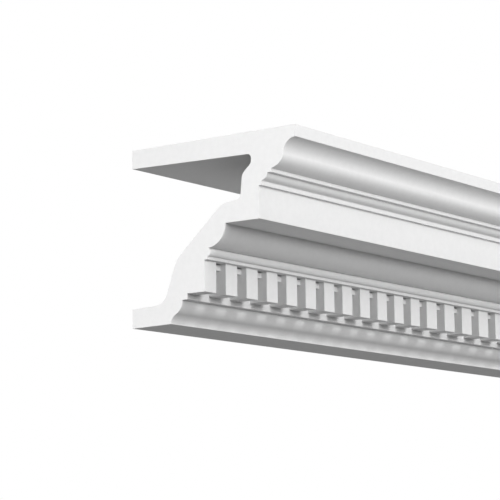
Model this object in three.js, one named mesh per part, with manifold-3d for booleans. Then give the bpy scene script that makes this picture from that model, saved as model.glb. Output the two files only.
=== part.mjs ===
// A one metre length of dentil cornice, moulded in one piece with a hollow back.
// Millimetres, +Z up. The wall plane is Y = 0, the front faces -Y and the length
// runs along X. The origin is the middle of the foot's flat back face.

import * as THREE from "three";
import { mergeVertices } from "three/addons/utils/BufferGeometryUtils.js";
import Module from "manifold-3d";

// Cut length, square at both ends
const length = 1000;

// Top members, from the ceiling face down: heights, how far each one steps back
// from the member above it, and the degrees that a shallow curve turns through
const topFilletHeight = 14;
const cymaHollowHeight = 16.7;
const cymaHollowDepth = 17;
const cymaSwellHeight = 15;
const cymaSwellDepth = 17;
const cymaSwellTurn = 70;
const upperFilletHeight = 4.1;
const upperFilletStep = 5;
const smallSwellHeight = 7.3;
const smallSwellDepth = 5.4;
const smallSwellTurn = 70;
const smallHollowHeight = 1.7;
const smallHollowDepth = 2.5;
const smallHollowTurn = 60;
const lowerFilletHeight = 4.3;
const lowerFilletStep = 3.8;
const fasciaHeight = 37.4;
const soffitDepth = 47.3;

// Bed members under the soffit
const ovoloHeight = 26.1;
const ovoloDepth = 25;
const ovoloTurn = 86;
const beadHeight = 9.2;
const beadSwell = 3.4;
const beadStep = 0.9;
const beadFilletHeight = 3.5;
const beadFilletStep = 4.2;

// Dentil course
const dentilHeight = 36.5;
const dentilDepth = 25;
const recessFilletHeight = 6.7;
const recessFilletStep = 7;
const webDrop = 1.5;
const webHeight = 6.7;
const webSetback = 8;

// Two runs of dentils, as the photographed length has them
const closeRunCount = 12;
const closeDentilWidth = 22;
const closeGapWidth = 18;
const wideDentilWidth = 25.2;
const wideGapWidth = 20.3;

// Foot members
const footSwellHeight = 15.4;
const footSwellDepth = 9.1;
const footSwellTurn = 61;
const footHollowHeight = 11;
const footHollowDepth = 7.9;
const footHollowTurn = 49;
const footDepth = 56.9;
const footDraft = 1.1;

// Hollow back: how thick the piece is behind each member
const footEdgeThickness = 22.2;
const footHeelThickness = 24.7;
const footHeelInset = 10.1;
const bedWallThickness = 15.4;
const bedWallRise = 4.1;
const soffitWallThickness = 22.7;
const soffitWallSlope = 2.7;
const soffitBackInset = 4.9;
const fasciaWallThickness = 25.9;
const coveWallThickness = 23.5;
const coveRise = 15.6;
const shoulderInset = 27.2;
const shoulderHeight = 10.5;
const topSlabThickness = 25.7;
const topEdgeThickness = 22;

// How far from each corner of the back its curve starts, and the share of the legs
// before and after the corner that it may take
const backReach = { heel: 13, bed: 9, soffit: 9, fascia: 6, cove: 5.5, shoulder: 4, slab: 7 };
const legShareBefore = 0.9;
const legShareAfter = 0.45;

const curveSteps = 7;
const quarterTurn = 90;
const joinOverlap = 2;

// Distances out from the wall
const footFront = footDepth;
const recessFront = footFront + footHollowDepth + footSwellDepth + recessFilletStep;
const dentilFront = recessFront + dentilDepth;
const beadFilletFront = dentilFront + beadFilletStep;
const beadTopFront = beadFilletFront + beadStep;
const ovoloFront = beadTopFront + ovoloDepth;
const fasciaFront = ovoloFront + soffitDepth;
const lowerFilletFront = fasciaFront + lowerFilletStep;
const smallCymaFront = lowerFilletFront + smallHollowDepth + smallSwellDepth;
const upperFilletFront = smallCymaFront + upperFilletStep;
const topFront = upperFilletFront + cymaSwellDepth + cymaHollowDepth;

// Levels, up from the foot's lower edge at the wall. Its underside rises a little
// toward the front, so that it leaves the mould
const recessFoot = footDraft + footHollowHeight + footSwellHeight;
const dentilFoot = recessFoot + recessFilletHeight;
const dentilTop = dentilFoot + dentilHeight;
const beadFoot = dentilTop + beadFilletHeight;
const beadTop = beadFoot + beadHeight;
const soffitLevel = beadTop + ovoloHeight;
const fasciaTop = soffitLevel + fasciaHeight;
const smallCymaFoot = fasciaTop + lowerFilletHeight;
const upperFilletFoot = smallCymaFoot + smallHollowHeight + smallSwellHeight;
const cymaFoot = upperFilletFoot + upperFilletHeight;
const topFilletFoot = cymaFoot + cymaSwellHeight + cymaHollowHeight;
const topLevel = topFilletFoot + topFilletHeight;

// Bezier handles for an arc of an ellipse, upright at one end, that turns through
// a quarter or less
function arcHandles(out, up, degrees) {
  const turn = THREE.MathUtils.degToRad(degrees);
  const share = (4 / 3) * Math.tan(turn / 4);
  const wide = out / (1 - Math.cos(turn));
  const high = up / Math.sin(turn);
  return {
    upright: share * high,
    leanOut: share * wide * Math.sin(turn),
    leanUp: share * high * Math.cos(turn),
  };
}

// Swelling member: the curve leaves the pen's place upright
function swellCurve(pen, out, up, degrees = quarterTurn) {
  const { x, y } = pen.currentPoint;
  const { upright, leanOut, leanUp } = arcHandles(out, up, degrees);
  pen.bezierCurveTo(x, y + upright, x + out - leanOut, y + up - leanUp, x + out, y + up);
}

// Hollow member: the curve ends upright
function hollowCurve(pen, out, up, degrees = quarterTurn) {
  const { x, y } = pen.currentPoint;
  const { upright, leanOut, leanUp } = arcHandles(out, up, degrees);
  pen.bezierCurveTo(x + leanOut, y + leanUp, x + out, y + up - upright, x + out, y + up);
}

// Line toward a corner, then a curve round it toward the point after it
function roundCorner(pen, corner, next, reach) {
  const start = pen.currentPoint.clone();
  const inLength = start.distanceTo(corner);
  const outLength = corner.distanceTo(next);
  const cut = Math.min(reach, legShareBefore * inLength, legShareAfter * outLength);
  const before = corner.clone().lerp(start, cut / inLength);
  const after = corner.clone().lerp(next, cut / outLength);
  pen.lineTo(before.x, before.y);
  pen.quadraticCurveTo(corner.x, corner.y, after.x, after.y);
}

// Front of the profile, from the ceiling face down to the underside of the foot
function drawFront(pen) {
  pen.lineTo(topFront, topLevel);
  pen.lineTo(topFront, topFilletFoot);
  hollowCurve(pen, -cymaHollowDepth, -cymaHollowHeight);
  swellCurve(pen, -cymaSwellDepth, -cymaSwellHeight, cymaSwellTurn);
  pen.lineTo(upperFilletFront, upperFilletFoot);
  pen.lineTo(smallCymaFront, upperFilletFoot);
  swellCurve(pen, -smallSwellDepth, -smallSwellHeight, smallSwellTurn);
  hollowCurve(pen, -smallHollowDepth, -smallHollowHeight, smallHollowTurn);
  pen.lineTo(lowerFilletFront, fasciaTop);
  pen.lineTo(fasciaFront, fasciaTop);
  pen.lineTo(fasciaFront, soffitLevel);
  pen.lineTo(ovoloFront, soffitLevel);
  swellCurve(pen, -ovoloDepth, -ovoloHeight, ovoloTurn);
  hollowCurve(pen, beadSwell, -beadHeight / 2);
  swellCurve(pen, -beadSwell - beadStep, -beadHeight / 2);
  pen.lineTo(beadFilletFront, dentilTop);
  pen.lineTo(recessFront, dentilTop);
  pen.lineTo(recessFront, recessFoot);
  pen.lineTo(recessFront - recessFilletStep, recessFoot);
  swellCurve(pen, -footSwellDepth, -footSwellHeight, footSwellTurn);
  hollowCurve(pen, -footHollowDepth, -footHollowHeight, footHollowTurn);
}

// Corners of the hollow back, from the foot up, each behind the member it backs
function backCorners() {
  const soffitBack = soffitLevel + soffitWallThickness;
  const shoulderFront = upperFilletFront - shoulderInset;
  const slabFoot = topLevel - topSlabThickness;
  return [
    [footFront - footHeelInset, footHeelThickness, backReach.heel],
    [recessFront - bedWallThickness, dentilTop + bedWallRise, backReach.bed],
    [ovoloFront - soffitBackInset, soffitBack, backReach.soffit],
    [fasciaFront - fasciaWallThickness, soffitBack + soffitWallSlope, backReach.fascia],
    [fasciaFront - coveWallThickness, fasciaTop + coveRise, backReach.cove],
    [shoulderFront, slabFoot - shoulderHeight, backReach.shoulder],
    [shoulderFront, slabFoot, backReach.slab],
    [0, topLevel - topEdgeThickness, 0],
  ];
}

function drawBack(pen) {
  const corners = backCorners();
  pen.lineTo(0, 0);
  pen.lineTo(0, footEdgeThickness);
  for (let i = 0; i < corners.length - 1; i += 1) {
    const [out, up, reach] = corners[i];
    const [nextOut, nextUp] = corners[i + 1];
    roundCorner(pen, new THREE.Vector2(out, up), new THREE.Vector2(nextOut, nextUp), reach);
  }
  pen.lineTo(0, topLevel - topEdgeThickness);
}

function profileShape() {
  const pen = new THREE.Shape();
  pen.moveTo(0, topLevel);
  drawFront(pen);
  drawBack(pen);
  pen.closePath();
  return pen;
}

// The profile lies in the wall's cross-section, and the run goes along X
function mouldingBody() {
  const body = new THREE.ExtrudeGeometry(profileShape(), {
    depth: length,
    bevelEnabled: false,
    curveSegments: curveSteps,
  });
  const across = new THREE.Matrix4().makeBasis(
    new THREE.Vector3(0, -1, 0),
    new THREE.Vector3(0, 0, 1),
    new THREE.Vector3(-1, 0, 0),
  );
  body.applyMatrix4(across);
  body.translate(length / 2, 0, 0);
  return body;
}

// A block between two places along the run, out from the recess wall
function courseBlock(fromLeft, toLeft, front, foot, top) {
  const width = toLeft - fromLeft;
  const depth = front - recessFront + joinOverlap;
  const block = new THREE.BoxGeometry(width, depth, top - foot);
  block.translate(
    (fromLeft + toLeft) / 2 - length / 2,
    -(recessFront - joinOverlap) - depth / 2,
    (foot + top) / 2,
  );
  return block;
}

// Left and right side of every dentil, measured from the left end
function dentilSpans() {
  const spans = [];
  let left = 0;
  while (left < length) {
    const close = spans.length < closeRunCount;
    const width = close ? closeDentilWidth : wideDentilWidth;
    const gap = close ? closeGapWidth : wideGapWidth;
    spans.push([left, Math.min(left + width, length)]);
    left += width + gap;
  }
  return spans;
}

// Dentils, and the low web that bridges each gap between them
function courseBlocks() {
  const spans = dentilSpans();
  const webTop = dentilTop - webDrop;
  const blocks = [];
  for (const [left, right] of spans) {
    blocks.push(courseBlock(left, right, dentilFront, dentilFoot, dentilTop + joinOverlap));
  }
  spans.forEach(([, right], i) => {
    const nextLeft = i + 1 < spans.length ? spans[i + 1][0] : length;
    if (nextLeft - right > joinOverlap) {
      const webStart = right - joinOverlap;
      const webEnd = Math.min(nextLeft + joinOverlap, length);
      const front = dentilFront - webSetback;
      blocks.push(courseBlock(webStart, webEnd, front, webTop - webHeight, webTop));
    }
  });
  return blocks;
}

const wasm = await Module();
wasm.setup();

function toSolid(geometry) {
  geometry.deleteAttribute("normal");
  geometry.deleteAttribute("uv");
  const merged = mergeVertices(geometry);
  return new wasm.Manifold(new wasm.Mesh({
    numProp: 3,
    vertProperties: new Float32Array(merged.attributes.position.array),
    triVerts: new Uint32Array(merged.index.array),
  }));
}

function toGeometry(solid) {
  const mesh = solid.getMesh();
  const geometry = new THREE.BufferGeometry();
  geometry.setAttribute("position", new THREE.BufferAttribute(mesh.vertProperties, 3));
  geometry.setIndex(new THREE.BufferAttribute(mesh.triVerts, 1));
  geometry.computeVertexNormals();
  return geometry;
}

const primer = new THREE.MeshStandardMaterial({
  color: 0xefefed,
  roughness: 0.75,
  metalness: 0,
});

let moulding = toSolid(mouldingBody());
for (const block of courseBlocks()) {
  moulding = moulding.add(toSolid(block));
}

const cornice = new THREE.Mesh(toGeometry(moulding), primer);
cornice.name = "cornice_moulding";
cornice.position.z = -footEdgeThickness / 2;

const part = new THREE.Group();
part.add(cornice);

export default part;
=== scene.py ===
# A one metre length of white dentil cornice, seen from below and from its left end
import math

import bpy
from mathutils import Matrix, Vector


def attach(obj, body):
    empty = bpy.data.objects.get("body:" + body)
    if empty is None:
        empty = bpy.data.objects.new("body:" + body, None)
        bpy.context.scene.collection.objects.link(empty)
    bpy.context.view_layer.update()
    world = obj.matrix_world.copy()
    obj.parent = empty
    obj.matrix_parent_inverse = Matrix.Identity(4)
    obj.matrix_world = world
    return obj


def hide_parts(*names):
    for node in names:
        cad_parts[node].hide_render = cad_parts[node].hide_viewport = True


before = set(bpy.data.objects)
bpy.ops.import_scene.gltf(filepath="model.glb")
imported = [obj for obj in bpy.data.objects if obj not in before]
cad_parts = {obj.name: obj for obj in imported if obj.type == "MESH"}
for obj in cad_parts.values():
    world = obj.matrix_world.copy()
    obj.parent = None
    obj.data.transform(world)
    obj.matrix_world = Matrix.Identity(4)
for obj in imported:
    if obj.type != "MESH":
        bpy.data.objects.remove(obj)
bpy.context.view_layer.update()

mm = 0.001

# Members of the front, from the ceiling face down: heights, steps back from the
# member above, and the degrees that a shallow curve turns through
frontSizes = {
    "topFilletHeight": 14 * mm,
    "cymaHollowHeight": 16.7 * mm,
    "cymaHollowDepth": 17 * mm,
    "cymaSwellHeight": 15 * mm,
    "cymaSwellDepth": 17 * mm,
    "cymaSwellTurn": 70,
    "upperFilletHeight": 4.1 * mm,
    "upperFilletStep": 5 * mm,
    "smallSwellHeight": 7.3 * mm,
    "smallSwellDepth": 5.4 * mm,
    "smallSwellTurn": 70,
    "smallHollowHeight": 1.7 * mm,
    "smallHollowDepth": 2.5 * mm,
    "smallHollowTurn": 60,
    "lowerFilletHeight": 4.3 * mm,
    "lowerFilletStep": 3.8 * mm,
    "fasciaHeight": 37.4 * mm,
    "soffitDepth": 47.3 * mm,
    "ovoloHeight": 26.1 * mm,
    "ovoloDepth": 25 * mm,
    "ovoloTurn": 86,
    "beadHeight": 9.2 * mm,
    "beadSwell": 3.4 * mm,
    "beadStep": 0.9 * mm,
    "beadFilletHeight": 3.5 * mm,
    "beadFilletStep": 4.2 * mm,
    "dentilHeight": 36.5 * mm,
    "dentilDepth": 25 * mm,
    "recessFilletHeight": 6.7 * mm,
    "recessFilletStep": 7 * mm,
    "footSwellHeight": 15.4 * mm,
    "footSwellDepth": 9.1 * mm,
    "footSwellTurn": 61,
    "footHollowHeight": 11 * mm,
    "footHollowDepth": 7.9 * mm,
    "footHollowTurn": 49,
    "footDepth": 56.9 * mm,
    "footDraft": 1.1 * mm,
    "arrisRadius": 0.3 * mm,
    "arrisSteps": 4,
    "curveSteps": 30,
    "smallCurveSteps": 10,
}

# Thicknesses behind those members, and how far from each corner its curve starts
backSizes = {
    "footEdge": 22.2 * mm,
    "footHeel": 24.7 * mm,
    "footHeelInset": 10.1 * mm,
    "bedWall": 15.4 * mm,
    "bedWallRise": 4.1 * mm,
    "soffitWall": 22.7 * mm,
    "soffitWallSlope": 2.7 * mm,
    "soffitInset": 4.9 * mm,
    "fasciaWall": 25.9 * mm,
    "coveWall": 23.5 * mm,
    "coveRise": 15.6 * mm,
    "shoulderInset": 27.2 * mm,
    "shoulderHeight": 10.5 * mm,
    "topSlab": 25.7 * mm,
    "topEdge": 22 * mm,
    "heelReach": 13 * mm,
    "bedReach": 9 * mm,
    "soffitReach": 9 * mm,
    "fasciaReach": 6 * mm,
    "coveReach": 5.5 * mm,
    "shoulderReach": 4 * mm,
    "slabReach": 7 * mm,
    "curveSteps": 14,
}


def stackMembers(s):
    # Heights above the foot's underside, and distances out from the wall
    up = {}
    up["recessFoot"] = s["footDraft"] + s["footHollowHeight"] + s["footSwellHeight"]
    up["dentilFoot"] = up["recessFoot"] + s["recessFilletHeight"]
    up["dentilTop"] = up["dentilFoot"] + s["dentilHeight"]
    up["beadTop"] = up["dentilTop"] + s["beadFilletHeight"] + s["beadHeight"]
    up["soffit"] = up["beadTop"] + s["ovoloHeight"]
    up["fasciaTop"] = up["soffit"] + s["fasciaHeight"]
    up["smallCymaFoot"] = up["fasciaTop"] + s["lowerFilletHeight"]
    up["smallCymaTop"] = up["smallCymaFoot"] + s["smallHollowHeight"] + s["smallSwellHeight"]
    up["cymaFoot"] = up["smallCymaTop"] + s["upperFilletHeight"]
    up["topFilletFoot"] = up["cymaFoot"] + s["cymaSwellHeight"] + s["cymaHollowHeight"]
    up["top"] = up["topFilletFoot"] + s["topFilletHeight"]
    out = {}
    out["foot"] = s["footDepth"]
    out["footTop"] = out["foot"] + s["footHollowDepth"] + s["footSwellDepth"]
    out["recess"] = out["footTop"] + s["recessFilletStep"]
    out["dentil"] = out["recess"] + s["dentilDepth"]
    out["beadFillet"] = out["dentil"] + s["beadFilletStep"]
    out["beadTop"] = out["beadFillet"] + s["beadStep"]
    out["ovolo"] = out["beadTop"] + s["ovoloDepth"]
    out["fascia"] = out["ovolo"] + s["soffitDepth"]
    out["lowerFillet"] = out["fascia"] + s["lowerFilletStep"]
    out["smallCyma"] = out["lowerFillet"] + s["smallHollowDepth"] + s["smallSwellDepth"]
    out["upperFillet"] = out["smallCyma"] + s["upperFilletStep"]
    out["top"] = out["upperFillet"] + s["cymaSwellDepth"] + s["cymaHollowDepth"]
    return up, out


up, out = stackMembers(frontSizes)


# Most of the edge before a corner, and of the one after it, that its curve may take up
mostBefore = 0.9
mostAfter = 0.45


def softCorner(points, x, y, nextX, nextY, reach, steps):
    # On toward (x, y), and round it toward (nextX, nextY)
    corner, start, after = Vector((x, y)), Vector(points[-1]), Vector((nextX, nextY))
    cut = min(reach, mostBefore * (start - corner).length, mostAfter * (after - corner).length)
    first = corner + (start - corner).normalized() * cut
    last = corner + (after - corner).normalized() * cut
    for i in range(steps + 1):
        t = i / steps
        spot = first * (1 - t) ** 2 + corner * 2 * t * (1 - t) + last * t ** 2
        points.append((spot.x, spot.y))


def swellCurve(points, run, rise, steps, degrees=90):
    # Arc of an ellipse that leaves the last point upright, as on a swelling member
    x, y = points[-1]
    end = math.radians(degrees)
    for i in range(1, steps + 1):
        turn = end * i / steps
        far, near = math.sin(turn) / math.sin(end), (1 - math.cos(turn)) / (1 - math.cos(end))
        points.append((x + run * near, y + rise * far))


def hollowCurve(points, run, rise, steps, degrees=90):
    # The same arc the other way, as on a hollow member: it ends upright
    x, y = points[-1]
    end = math.radians(degrees)
    for i in range(1, steps + 1):
        turn = end * (1 - i / steps)
        far, near = math.sin(turn) / math.sin(end), (1 - math.cos(turn)) / (1 - math.cos(end))
        points.append((x + run * (1 - near), y + rise * (1 - far)))


def drawFront(points, s):
    # From the ceiling face down to the foot, each member from the end of the last
    fine, small = s["curveSteps"], s["smallCurveSteps"]

    def arris(x, y, nextX):
        softCorner(points, x, y, nextX, y, s["arrisRadius"], s["arrisSteps"])

    hollowEnd = out["top"] - s["cymaHollowDepth"]
    softCorner(points, out["top"], up["top"], out["top"], up["topFilletFoot"],
               s["arrisRadius"], s["arrisSteps"])
    arris(out["top"], up["topFilletFoot"], hollowEnd)
    hollowCurve(points, hollowEnd - points[-1][0], -s["cymaHollowHeight"], fine)
    swellCurve(points, -s["cymaSwellDepth"], -s["cymaSwellHeight"], fine, s["cymaSwellTurn"])
    arris(out["upperFillet"], up["smallCymaTop"], out["smallCyma"])
    points.append((out["smallCyma"], up["smallCymaTop"]))
    swellCurve(points, -s["smallSwellDepth"], -s["smallSwellHeight"], small, s["smallSwellTurn"])
    hollowCurve(points, -s["smallHollowDepth"], -s["smallHollowHeight"], small, s["smallHollowTurn"])
    arris(out["lowerFillet"], up["fasciaTop"], out["fascia"])
    points.append((out["fascia"], up["fasciaTop"]))
    arris(out["fascia"], up["soffit"], out["ovolo"])
    points.append((out["ovolo"], up["soffit"]))
    swellCurve(points, -s["ovoloDepth"], -s["ovoloHeight"], fine, s["ovoloTurn"])
    hollowCurve(points, s["beadSwell"], -s["beadHeight"] / 2, small)
    swellCurve(points, -s["beadSwell"] - s["beadStep"], -s["beadHeight"] / 2, small)
    arris(out["beadFillet"], up["dentilTop"], out["recess"])
    points.append((out["recess"], up["dentilTop"]))
    arris(out["recess"], up["recessFoot"], out["footTop"])
    points.append((out["footTop"], up["recessFoot"]))
    swellCurve(points, -s["footSwellDepth"], -s["footSwellHeight"], fine, s["footSwellTurn"])
    hollowCurve(points, -s["footHollowDepth"], -s["footHollowHeight"], fine, s["footHollowTurn"])


def drawBack(points, b):
    # From the foot's back face round the hollow to the top slab's edge
    soffitBack = up["soffit"] + b["soffitWall"]
    slabUnder = up["top"] - b["topSlab"]
    shoulder = out["upperFillet"] - b["shoulderInset"]
    corners = [
        (out["foot"] - b["footHeelInset"], b["footHeel"], b["heelReach"]),
        (out["recess"] - b["bedWall"], up["dentilTop"] + b["bedWallRise"], b["bedReach"]),
        (out["ovolo"] - b["soffitInset"], soffitBack, b["soffitReach"]),
        (out["fascia"] - b["fasciaWall"], soffitBack + b["soffitWallSlope"], b["fasciaReach"]),
        (out["fascia"] - b["coveWall"], up["fasciaTop"] + b["coveRise"], b["coveReach"]),
        (shoulder, slabUnder - b["shoulderHeight"], b["shoulderReach"]),
        (shoulder, slabUnder, b["slabReach"]),
        (0, up["top"] - b["topEdge"], 0),
    ]
    points.append((0, b["footEdge"]))
    for (x, y, reach), (nextX, nextY, _) in zip(corners, corners[1:]):
        softCorner(points, x, y, nextX, nextY, reach, b["curveSteps"])
    points.append((0, up["top"] - b["topEdge"]))


def makeProfileFace():
    # The section as one flat face: X is out from the wall, Y is up
    points = [(0, up["top"])]
    drawFront(points, frontSizes)
    points.append((0, 0))
    backStart = len(points) - 1
    drawBack(points, backSizes)
    mesh = bpy.data.meshes.new("profileFace")
    mesh.from_pydata([(x, y, 0) for x, y in points], [], [range(len(points))[::-1]])
    unseen = mesh.attributes.new("unseenBack", "FLOAT", "POINT")
    for i in range(len(points)):
        unseen.data[i].value = 1.0 if i == 0 or i >= backStart else 0.0
    profile = bpy.data.objects.new("profileFace", mesh)
    bpy.context.scene.collection.objects.link(profile)
    return profile


# Foam finishes: primed front, sawn ends and the unseen moulded back
finishes = {
    "primedFoam": {
        "light": 0.805, "dark": 0.795, "warmth": 0.0, "smoothest": 0.55, "roughest": 0.68,
        "grainScale": 1500, "grainBump": 0.05, "waveScale": 22, "waveBump": 0.04,
    },
    "sawnFoam": {
        "light": 0.81, "dark": 0.79, "warmth": 0.0, "smoothest": 0.75, "roughest": 0.9,
        "grainScale": 2600, "grainBump": 0.25, "waveScale": 140, "waveBump": 0.06,
    },
    "foamBack": {
        "light": 0.79, "dark": 0.755, "warmth": 0.02, "smoothest": 0.65, "roughest": 0.85,
        "grainScale": 900, "grainBump": 0.22, "waveScale": 30, "waveBump": 0.3,
    },
}

# What the three finishes share: gloss, noise detail, bump depths and the ramp's stops
foamTexture = {
    "specular": 0.35,
    "waveDetail": 4, "waveDepth": 0.3 * mm,
    "grainDetail": 2, "grainDepth": 0.2 * mm,
    "dark": 0.35, "light": 0.65,
}


def foamMaterial(name):
    # Fine grain over slow waves, in colour, roughness and bump
    look = finishes[name]
    material = bpy.data.materials.new(name)
    material.use_nodes = True
    nodes, links = material.node_tree.nodes, material.node_tree.links
    shader = nodes["Principled BSDF"]
    shader.inputs["Specular IOR Level"].default_value = foamTexture["specular"]
    place = nodes.new("ShaderNodeTexCoord")

    def noiseOf(scale, detail):
        noise = nodes.new("ShaderNodeTexNoise")
        noise.inputs["Scale"].default_value = scale
        noise.inputs["Detail"].default_value = detail
        links.new(place.outputs["Object"], noise.inputs["Vector"])
        return noise.outputs["Fac"]

    def bumpOf(height, strength, depth, below=None):
        bump = nodes.new("ShaderNodeBump")
        bump.inputs["Strength"].default_value = strength
        bump.inputs["Distance"].default_value = depth
        links.new(height, bump.inputs["Height"])
        if below:
            links.new(below, bump.inputs["Normal"])
        return bump.outputs["Normal"]

    wave = noiseOf(look["waveScale"], foamTexture["waveDetail"])
    grain = noiseOf(look["grainScale"], foamTexture["grainDetail"])
    tint = nodes.new("ShaderNodeValToRGB")
    for stop, level in zip(tint.color_ramp.elements, ("dark", "light")):
        value = look[level]
        stop.position = foamTexture[level]
        stop.color = (value, value * (1 - look["warmth"] / 2), value * (1 - look["warmth"]), 1)
    links.new(wave, tint.inputs["Fac"])
    links.new(tint.outputs["Color"], shader.inputs["Base Color"])
    rough = nodes.new("ShaderNodeMapRange")
    rough.inputs["To Min"].default_value = look["smoothest"]
    rough.inputs["To Max"].default_value = look["roughest"]
    links.new(grain, rough.inputs["Value"])
    links.new(rough.outputs["Result"], shader.inputs["Roughness"])
    slow = bumpOf(wave, look["waveBump"], foamTexture["waveDepth"])
    both = bumpOf(grain, look["grainBump"], foamTexture["grainDepth"], slow)
    links.new(both, shader.inputs["Normal"])
    return material


# The run along the wall, with its close dentils first and its wide ones after
runSizes = {
    "Length": 1000 * mm,
    "Close Count": 12,
    "Close Width": 22 * mm,
    "Close Gap": 18 * mm,
    "Wide Width": 25.2 * mm,
    "Wide Gap": 20.3 * mm,
    "Web Drop": 1.5 * mm,
    "Web Height": 6.7 * mm,
    "Web Setback": 8 * mm,
    "Join Overlap": 2 * mm,
    "Saw Allowance": 10 * mm,
    "Arris Angle": math.radians(60),
}
# Rounding of the dentils and webs, and the margin of the box in which their edges are found
blockArris = {"width": 0.7 * mm, "segments": 3, "margin": 1 * mm}
shadeAngle = math.radians(32)  # past this, shading is sharp
# How near a cut end a point counts as on it, and how squarely its face looks along the run
cutEnd = {"near": 0.1 * mm, "facing": 0.99}
mergeReach = 0.001 * mm
wholeFace = 0.99  # a face's mean mark passes this only where all its points are marked
sawRoom = 2.0  # height and depth of the block that the length is cut with


def newTree(name, sizes):
    tree = bpy.data.node_groups.new(name, "GeometryNodeTree")
    tree.interface.new_socket("Geometry", in_out="INPUT", socket_type="NodeSocketGeometry")
    tree.interface.new_socket("Geometry", in_out="OUTPUT", socket_type="NodeSocketGeometry")
    for label, value in sizes.items():
        kind = "NodeSocketInt" if isinstance(value, int) else "NodeSocketFloat"
        tree.interface.new_socket(label, in_out="INPUT", socket_type=kind)
    tree.nodes.new("NodeGroupInput")
    tree.nodes.new("NodeGroupOutput")
    return tree


def feed(tree, socket, value):
    # A socket, the name of a tree input, or a plain value
    if isinstance(value, bpy.types.NodeSocket):
        tree.links.new(value, socket)
    elif isinstance(value, str) and value in tree.nodes["Group Input"].outputs:
        tree.links.new(tree.nodes["Group Input"].outputs[value], socket)
    else:
        socket.default_value = value


def addNode(tree, kind, inputs=None, **settings):
    node = tree.nodes.new(kind)
    for name, value in settings.items():
        setattr(node, name, value)
    for name, value in (inputs or {}).items():
        feed(tree, node.inputs[name], value)
    return node


def calc(tree, operation, first, second=0.0):
    return addNode(tree, "ShaderNodeMath", {0: first, 1: second}, operation=operation).outputs[0]


def vectorOf(tree, x=0.0, y=0.0, z=0.0):
    return addNode(tree, "ShaderNodeCombineXYZ", {0: x, 1: y, 2: z}).outputs[0]


def sweepProfile(tree, primed, back):
    # Draws the section out into a closed body, a little longer than the cut length
    sections = tree.nodes["Group Input"].outputs["Geometry"]
    long = calc(tree, "ADD", "Length", calc(tree, "MULTIPLY", "Saw Allowance", 2.0))
    drawn = addNode(tree, "GeometryNodeExtrudeMesh", {
        "Mesh": sections, "Offset": vectorOf(tree, z=long), "Offset Scale": 1.0, "Individual": False,
    }, mode="FACES")
    cap = addNode(tree, "GeometryNodeFlipFaces", {"Mesh": sections})
    both = addNode(tree, "GeometryNodeJoinGeometry")
    tree.links.new(drawn.outputs["Mesh"], both.inputs[0])
    tree.links.new(cap.outputs["Mesh"], both.inputs[0])
    closed = addNode(tree, "GeometryNodeMergeByDistance", {
        "Geometry": both.outputs[0], "Distance": mergeReach,
    })
    across = Matrix(((0, 0, -1), (-1, 0, 0), (0, 1, 0))).to_euler()
    placed = addNode(tree, "GeometryNodeTransform", {
        "Geometry": closed.outputs[0],
        "Translation": vectorOf(tree, x=calc(tree, "MULTIPLY", long, 0.5)),
        "Rotation": across,
    })
    front = addNode(tree, "GeometryNodeSetMaterial", {
        "Geometry": placed.outputs[0], "Material": primed,
    })
    unseen = addNode(tree, "GeometryNodeInputNamedAttribute", {"Name": "unseenBack"}, data_type="FLOAT")
    allUnseen = calc(tree, "GREATER_THAN", unseen.outputs["Attribute"], wholeFace)
    return addNode(tree, "GeometryNodeSetMaterial", {
        "Geometry": front.outputs[0], "Selection": allUnseen, "Material": back,
    }).outputs[0]


def blockRow(tree, material, places, width, front, heights):
    # A row of equal blocks that grow out of the recess wall
    count, start, pitch = places
    foot, top = heights
    rootOut = calc(tree, "SUBTRACT", out["recess"], "Join Overlap")
    depth = calc(tree, "SUBTRACT", front, rootOut)
    height = calc(tree, "SUBTRACT", top, foot)
    block = addNode(tree, "GeometryNodeMeshCube", {"Size": vectorOf(tree, width, depth, height)})
    middleX = calc(tree, "ADD", start, calc(tree, "MULTIPLY", width, 0.5))
    middleY = calc(tree, "MULTIPLY", calc(tree, "ADD", front, rootOut), -0.5)
    middleZ = calc(tree, "MULTIPLY", calc(tree, "ADD", foot, top), 0.5)
    line = addNode(tree, "GeometryNodeMeshLine", {
        "Count": count,
        "Start Location": vectorOf(tree, middleX, middleY, middleZ),
        "Offset": vectorOf(tree, x=pitch),
    }, mode="OFFSET")
    row = addNode(tree, "GeometryNodeInstanceOnPoints", {
        "Points": line.outputs[0], "Instance": block.outputs["Mesh"],
    })
    real = addNode(tree, "GeometryNodeRealizeInstances", {"Geometry": row.outputs[0]})
    return addNode(tree, "GeometryNodeSetMaterial", {
        "Geometry": real.outputs[0], "Material": material,
    }).outputs[0]


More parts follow.
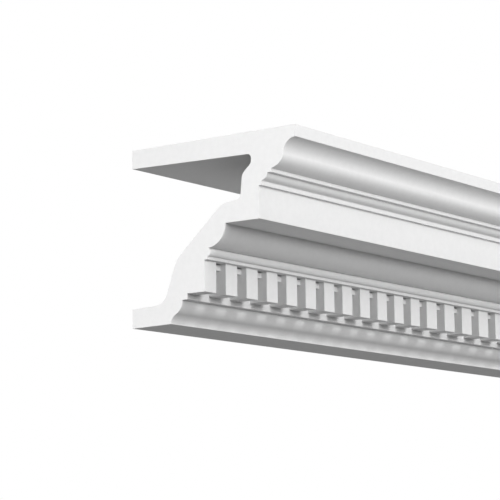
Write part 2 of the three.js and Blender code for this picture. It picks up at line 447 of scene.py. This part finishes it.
def courseRows(tree, material):
    # Dentils in their two runs, and the web that bridges the gap after each
    leftEnd = calc(tree, "MULTIPLY", "Length", -0.5)
    rightEnd = calc(tree, "MULTIPLY", "Length", 0.5)
    closePitch = calc(tree, "ADD", "Close Width", "Close Gap")
    widePitch = calc(tree, "ADD", "Wide Width", "Wide Gap")
    wideStart = calc(tree, "ADD", leftEnd, calc(tree, "MULTIPLY", "Close Count", closePitch))
    wideRoom = calc(tree, "DIVIDE", calc(tree, "SUBTRACT", rightEnd, wideStart), widePitch)
    runs = (
        ("Close Count", leftEnd, closePitch, "Close Width", "Close Gap"),
        (calc(tree, "CEIL", wideRoom), wideStart, widePitch, "Wide Width", "Wide Gap"),
    )
    dentilHeights = (up["dentilFoot"], calc(tree, "ADD", up["dentilTop"], "Join Overlap"))
    webFront = calc(tree, "SUBTRACT", out["dentil"], "Web Setback")
    webTop = calc(tree, "SUBTRACT", up["dentilTop"], "Web Drop")
    webHeights = (calc(tree, "SUBTRACT", webTop, "Web Height"), webTop)
    rows = []
    for count, start, pitch, width, gap in runs:
        dentils = (count, start, pitch)
        rows.append(blockRow(tree, material, dentils, width, out["dentil"], dentilHeights))
        webStart = calc(tree, "SUBTRACT", calc(tree, "ADD", start, width), "Join Overlap")
        webWidth = calc(tree, "ADD", gap, calc(tree, "MULTIPLY", "Join Overlap", 2.0))
        webs = (count, webStart, pitch)
        rows.append(blockRow(tree, material, webs, webWidth, webFront, webHeights))
    return rows


def allOf(tree, tests):
    # One where every test holds
    held = tests[0]
    for test in tests[1:]:
        held = calc(tree, "MULTIPLY", held, test)
    return held


def corniceTree(primed, sawn, back):
    # The swept section and its blocks joined, cut to length, marked for the bevel and set in place
    tree = newTree("corniceRun", runSizes)
    joined = addNode(tree, "GeometryNodeMeshBoolean", operation="UNION", solver="MANIFOLD")
    for solid in [sweepProfile(tree, primed, back), *courseRows(tree, primed)]:
        tree.links.new(solid, joined.inputs["Mesh 2"])
    room = addNode(tree, "GeometryNodeMeshCube", {
        "Size": vectorOf(tree, "Length", sawRoom, sawRoom),
    })
    cut = addNode(tree, "GeometryNodeMeshBoolean", operation="INTERSECT", solver="MANIFOLD")
    tree.links.new(joined.outputs["Mesh"], cut.inputs["Mesh 2"])
    tree.links.new(room.outputs["Mesh"], cut.inputs["Mesh 2"])
    smooth = addNode(tree, "GeometryNodeSetShadeSmooth", {
        "Geometry": cut.outputs["Mesh"], "Shade Smooth": True,
    })
    # Arrises of the dentils and webs, for the bevel
    position = addNode(tree, "GeometryNodeInputPosition").outputs[0]
    spot = addNode(tree, "ShaderNodeSeparateXYZ", {0: position})
    outward = calc(tree, "MULTIPLY", spot.outputs["Y"], -1.0)
    angle = addNode(tree, "GeometryNodeInputMeshEdgeAngle").outputs["Signed Angle"]
    fromMiddle = calc(tree, "ABSOLUTE", spot.outputs["X"])
    inset = calc(tree, "SUBTRACT", calc(tree, "MULTIPLY", "Length", 0.5), cutEnd["near"])
    arris = allOf(tree, (
        calc(tree, "GREATER_THAN", angle, "Arris Angle"),
        calc(tree, "GREATER_THAN", outward, out["recess"] + blockArris["margin"]),
        calc(tree, "LESS_THAN", outward, out["dentil"] + blockArris["margin"]),
        calc(tree, "GREATER_THAN", spot.outputs["Z"], up["dentilFoot"] - blockArris["margin"]),
        calc(tree, "LESS_THAN", spot.outputs["Z"], up["dentilTop"] - blockArris["margin"]),
        calc(tree, "LESS_THAN", fromMiddle, inset),
    ))
    weighed = addNode(tree, "GeometryNodeStoreNamedAttribute", {
        "Geometry": smooth.outputs[0], "Name": "bevel_weight_edge", "Value": arris,
    }, data_type="FLOAT", domain="EDGE")
    lowered = addNode(tree, "GeometryNodeTransform", {
        "Geometry": weighed.outputs[0], "Translation": (0, 0, -backSizes["footEdge"] / 2),
    })
    real = addNode(tree, "GeometryNodeRealizeInstances", {"Geometry": lowered.outputs[0]})
    # The two cut faces, for the sawn foam
    normal = addNode(tree, "GeometryNodeInputNormal").outputs[0]
    facing = addNode(tree, "ShaderNodeSeparateXYZ", {0: normal})
    endFace = allOf(tree, (
        calc(tree, "GREATER_THAN", calc(tree, "ABSOLUTE", facing.outputs["X"]), cutEnd["facing"]),
        calc(tree, "GREATER_THAN", fromMiddle, inset),
    ))
    done = addNode(tree, "GeometryNodeSetMaterial", {
        "Geometry": real.outputs[0], "Selection": endFace, "Material": sawn,
    })
    tree.links.new(done.outputs[0], tree.nodes["Group Output"].inputs[0])
    return tree


def takeMesh(source, name):
    # The evaluated object as a plain mesh of its own
    bpy.context.view_layer.update()
    graph = bpy.context.evaluated_depsgraph_get()
    shaped = source.evaluated_get(graph)
    mesh = bpy.data.meshes.new_from_object(shaped, preserve_all_data_layers=True, depsgraph=graph)
    mesh.name = name
    made = bpy.data.objects.new(name, mesh)
    bpy.context.scene.collection.objects.link(made)
    bpy.data.objects.remove(source)
    return made


def makeMoulding():
    # The run from the tree, then its bevel, then even shading over the bevelled edges
    profile = makeProfileFace()
    tree = corniceTree(*[foamMaterial(name) for name in finishes])
    run = profile.modifiers.new("corniceRun", "NODES")
    run.node_group = tree
    for item in tree.interface.items_tree:
        if item.in_out == "INPUT" and item.name in runSizes:
            run[item.identifier] = runSizes[item.name]
    bevel = profile.modifiers.new("blockArris", "BEVEL")
    bevel.limit_method = "WEIGHT"
    bevel.width = blockArris["width"]
    bevel.segments = blockArris["segments"]
    bevel.use_clamp_overlap = False
    moulding = takeMesh(profile, "corniceBody")
    moulding.data.set_sharp_from_angle(angle=shadeAngle)
    even = moulding.modifiers.new("evenNormals", "WEIGHTED_NORMAL")
    even.keep_sharp = True
    return takeMesh(moulding, "mouldedCornice")


cornice = makeMoulding()
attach(cornice, "root")
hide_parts("cornice_moulding")
print("cornice:", len(cornice.data.polygons), "faces,", [m.name for m in cornice.data.materials])


# Studio: a pale floor and a dim even sky
studio = {
    "floorDrop": 2.4, "floorReach": 150, "floorTone": 0.58, "floorRoughness": 0.9,
    "skySeen": 1.0, "skyLight": 0.09,
}

# Far lights: where each comes from, its power and how many degrees wide it looks.
# Azimuth 0 is the front and -90 the near end. The key is a tall narrow column
farLights = {
    "keyFoot": {"azimuth": -15, "elevation": 8, "power": 0.71, "spread": 14},
    "keyLower": {"azimuth": -7, "elevation": 20, "power": 0.33, "spread": 11},
    "keyMiddle": {"azimuth": -7, "elevation": 28, "power": 0.48, "spread": 11},
    "keyUpper": {"azimuth": -7, "elevation": 36, "power": 0.36, "spread": 11},
    "keyHead": {"azimuth": -7, "elevation": 46, "power": 0.33, "spread": 11},
    "underFill": {"azimuth": 0, "elevation": -90, "power": 0.51, "spread": 80},
    "nearEnd": {"azimuth": -90, "elevation": 0, "power": 2.27, "spread": 2},
    "farEnd": {"azimuth": 90, "elevation": 0, "power": 1.9, "spread": 2},
    "backPanel": {"azimuth": 180, "elevation": 35, "power": 1.5, "spread": 60},
    "overhead": {"azimuth": 0, "elevation": 90, "power": 1.1, "spread": 25},
}

# A long lit panel close in front, which the members that stand out catch most
nearPanel = {
    "out": 0.55, "height": 0.20, "aimOut": 0.15, "aimHeight": 0.10,
    "long": 4.0, "wide": 0.20, "power": 3.0,
}


def makeFloor():
    half, drop = studio["floorReach"], -studio["floorDrop"]
    mesh = bpy.data.meshes.new("studioFloor")
    corners = [(-half, -half, drop), (half, -half, drop), (half, half, drop), (-half, half, drop)]
    mesh.from_pydata(corners, [], [(0, 1, 2, 3)])
    floor = bpy.data.objects.new("studioFloor", mesh)
    bpy.context.scene.collection.objects.link(floor)
    material = bpy.data.materials.new("paleFloor")
    material.use_nodes = True
    shader = material.node_tree.nodes["Principled BSDF"]
    tone = studio["floorTone"]
    shader.inputs["Base Color"].default_value = (tone, tone, tone, 1)
    shader.inputs["Roughness"].default_value = studio["floorRoughness"]
    mesh.materials.append(material)
    # It neither lights the undersides nor stands in the way of the light from below
    floor.visible_diffuse = False
    floor.visible_glossy = False
    floor.visible_shadow = False


def makeWorld():
    # White where the camera looks past the piece, much dimmer as a light
    world = bpy.data.worlds.new("studioWorld")
    bpy.context.scene.world = world
    world.use_nodes = True
    nodes, links = world.node_tree.nodes, world.node_tree.links
    nodes.clear()
    path = nodes.new("ShaderNodeLightPath")
    seen = nodes.new("ShaderNodeBackground")
    light = nodes.new("ShaderNodeBackground")
    mix = nodes.new("ShaderNodeMixShader")
    end = nodes.new("ShaderNodeOutputWorld")
    seen.inputs["Strength"].default_value = studio["skySeen"]
    light.inputs["Strength"].default_value = studio["skyLight"]
    for shade in (seen, light):
        shade.inputs["Color"].default_value = (1, 1, 1, 1)
    links.new(path.outputs["Is Camera Ray"], mix.inputs[0])
    links.new(light.outputs[0], mix.inputs[1])
    links.new(seen.outputs[0], mix.inputs[2])
    links.new(mix.outputs[0], end.inputs[0])


def addLight(name, kind, power, place, travel):
    # A lamp at place that shines along travel and isn't seen itself
    data = bpy.data.lights.new(name, kind)
    data.energy = power
    light = bpy.data.objects.new(name, data)
    light.location = place
    light.rotation_euler = travel.to_track_quat("-Z", "Y").to_euler()
    light.visible_camera = False
    bpy.context.scene.collection.objects.link(light)
    return data


def makeLights():
    for name, look in farLights.items():
        turn, lift = math.radians(look["azimuth"]), math.radians(look["elevation"])
        level = math.cos(lift)
        travel = Vector((-math.sin(turn) * level, math.cos(turn) * level, -math.sin(lift)))
        sun = addLight(name, "SUN", look["power"], (0, 0, 0), travel)
        sun.angle = math.radians(look["spread"])
    place = Vector((0, -nearPanel["out"], nearPanel["height"]))
    aim = Vector((0, -nearPanel["aimOut"], nearPanel["aimHeight"]))
    panel = addLight("nearPanel", "AREA", nearPanel["power"], place, aim - place)
    panel.shape = "RECTANGLE"
    panel.size = nearPanel["long"]
    panel.size_y = nearPanel["wide"]


# Camera: where the photograph was taken from, worked out from the cut end and the run
cameraSpec = {
    "place": (-2.2735, -1.4767, -0.2768),
    "lens": 144.15, "sensor": 36,
    "azimuth": -53.619, "elevation": 8.796, "roll": -0.608,
    "clipStart": 0.05, "clipEnd": 250,
}


def makeCamera():
    data = bpy.data.cameras.new("photoCamera")
    data.lens = cameraSpec["lens"]
    data.sensor_width = cameraSpec["sensor"]
    data.clip_start = cameraSpec["clipStart"]
    data.clip_end = cameraSpec["clipEnd"]
    camera = bpy.data.objects.new("photoCamera", data)
    turn, lift, roll = (math.radians(cameraSpec[k]) for k in ("azimuth", "elevation", "roll"))
    aim = Vector((-math.sin(turn) * math.cos(lift), math.cos(turn) * math.cos(lift), math.sin(lift)))
    place = Matrix.Translation(cameraSpec["place"])
    level = aim.to_track_quat("-Z", "Y").to_matrix().to_4x4()
    camera.matrix_world = place @ level @ Matrix.Rotation(roll, 4, "Z")
    bpy.context.scene.collection.objects.link(camera)
    bpy.context.scene.camera = camera


makeFloor()
makeWorld()
makeLights()
makeCamera()
bpy.context.scene.view_settings.view_transform = "Standard"
print("studio ready")
